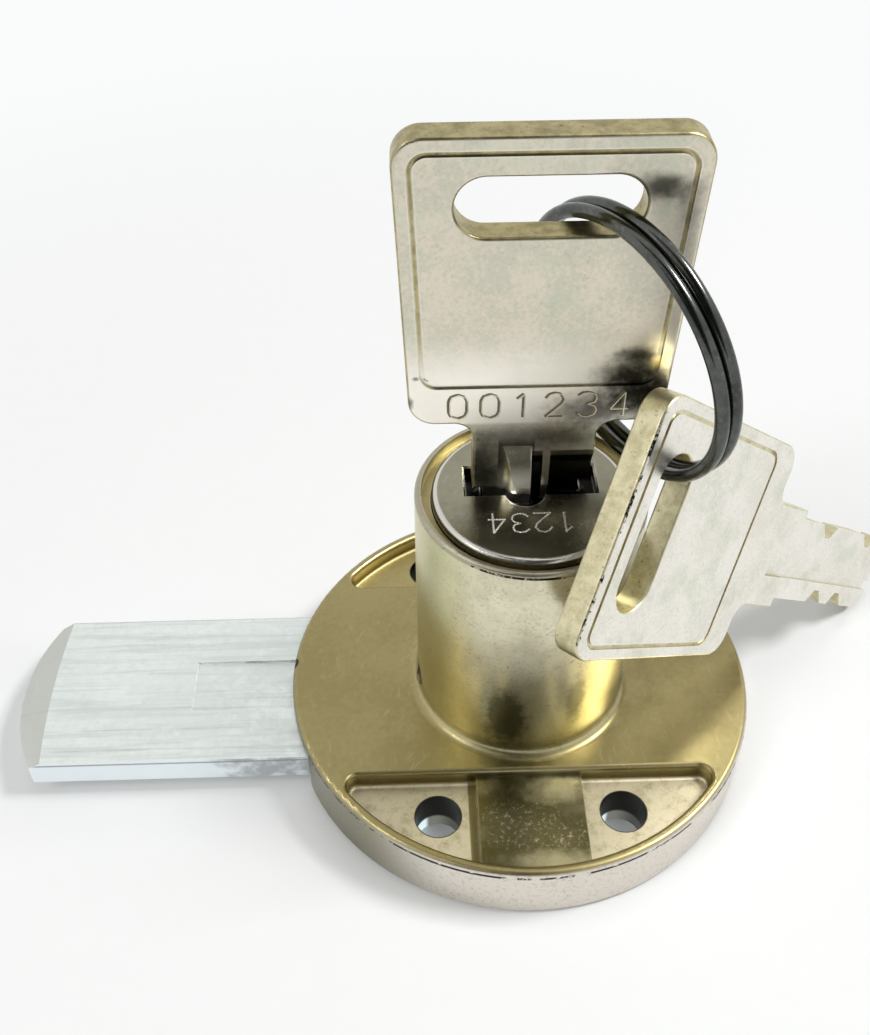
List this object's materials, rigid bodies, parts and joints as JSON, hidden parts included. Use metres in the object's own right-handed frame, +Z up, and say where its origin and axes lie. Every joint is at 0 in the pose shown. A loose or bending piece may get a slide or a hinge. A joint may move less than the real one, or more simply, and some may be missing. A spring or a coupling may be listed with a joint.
{
  "type": "rim lock",
  "caption": "Cylinder rim lock with a round pocketed flange, a long barrel, a flat sliding bolt with a rounded nose, and a key in the plug that shares its split ring with a spare.",
  "frame": {"origin": "centre of the flange's back face, where the barrel's axis meets it", "axes": "+Z up the barrel's axis towards the key, -X along the thrown bolt, and +Y to the back of the picture"},
  "size_m": [0.0821, 0.0404, 0.0565],
  "materials": {
    "housing": "satin nickel plate over die-cast zinc, worn to a warm olive tint",
    "plate": "zinc-plated sheet",
    "screw": "zinc plated",
    "pin": "plain steel",
    "bolt": "zinc-plated satin steel",
    "plug": "nickel plate, satin with a bright rolled edge",
    "key": "nickel-plated brass",
    "ring": "bright spring steel",
    "wafer": "stamped brass",
    "spring": "bright spring wire"
  },
  "bodies": {
    "lock": {"housing": "housing", "back_plate": "plate", "back_plate_screw_front": "screw", "back_plate_screw_rear": "screw", "stop_pin": "pin"},
    "bolt": {"bolt": "bolt"},
    "plug": {"plug": "plug", "driver_pin": "pin", "wafer_spring_1": "spring", "wafer_spring_2": "spring", "wafer_spring_3": "spring", "wafer_spring_4": "spring", "wafer_spring_5": "spring", "wafer_spring_6": "spring"},
    "key": {"key": "key"},
    "ring": {"split_ring": "ring"},
    "spare": {"spare_key": "key"},
    "wafer_1": {"wafer_1": "wafer"},
    "wafer_2": {"wafer_2": "wafer"},
    "wafer_3": {"wafer_3": "wafer"},
    "wafer_4": {"wafer_4": "wafer"},
    "wafer_5": {"wafer_5": "wafer"},
    "wafer_6": {"wafer_6": "wafer"}
  },
  "joints": [
    {"name": "plug_turn", "type": "hinge", "parent": "lock", "child": "plug", "pos_m": [0, 0, 0], "axis": [0, 0, -1], "range_deg": [0, 90]},
    {"name": "bolt_slide", "type": "slide", "parent": "lock", "child": "bolt", "axis": [1, 0, 0], "range_m": [0, 0.0086]},
    {"name": "key_slide", "type": "slide", "parent": "plug", "child": "key", "axis": [0, 0, 1], "range_m": [0, 0.024]},
    {"name": "wafer_1_slide", "type": "slide", "parent": "plug", "child": "wafer_1", "axis": [-1, 0, 0], "range_m": [0, 0.000551], "deforming": ["wafer_spring_1"]},
    {"name": "wafer_2_slide", "type": "slide", "parent": "plug", "child": "wafer_2", "axis": [1, 0, 0], "range_m": [0, 0.000551], "deforming": ["wafer_spring_2"]},
    {"name": "wafer_3_slide", "type": "slide", "parent": "plug", "child": "wafer_3", "axis": [-1, 0, 0], "range_m": [0, 0.000551], "deforming": ["wafer_spring_3"]},
    {"name": "wafer_4_slide", "type": "slide", "parent": "plug", "child": "wafer_4", "axis": [1, 0, 0], "range_m": [0, 0.000551], "deforming": ["wafer_spring_4"]},
    {"name": "wafer_5_slide", "type": "slide", "parent": "plug", "child": "wafer_5", "axis": [-1, 0, 0], "range_m": [0, 0.000551], "deforming": ["wafer_spring_5"]},
    {"name": "wafer_6_slide", "type": "slide", "parent": "plug", "child": "wafer_6", "axis": [1, 0, 0], "range_m": [0, 0.000551], "deforming": ["wafer_spring_6"]},
    {"name": "ring_swing", "type": "hinge", "parent": "key", "child": "ring", "pos_m": [0.00312, 0.0012, 0.05106], "axis": [0.4704, -0.84, 0.2705], "range_deg": [0, 30]},
    {"name": "spare_swing", "type": "hinge", "parent": "ring", "child": "spare", "pos_m": [0.0093, -0.00348, 0.03272], "axis": [0.412, -0.7958, 0.4439], "range_deg": [0, 22]}
  ],
  "couplings": [
    {"joint": "bolt_slide", "follows": "plug_turn", "m_per_rad": 0.0054019},
    {"joint": "wafer_1_slide", "follows": "key_slide", "ratio": 0.022917},
    {"joint": "wafer_2_slide", "follows": "key_slide", "ratio": 0.022917},
    {"joint": "wafer_3_slide", "follows": "key_slide", "ratio": 0.022917},
    {"joint": "wafer_4_slide", "follows": "key_slide", "ratio": 0.022917},
    {"joint": "wafer_5_slide", "follows": "key_slide", "ratio": 0.022917},
    {"joint": "wafer_6_slide", "follows": "key_slide", "ratio": 0.022917}
  ]
}
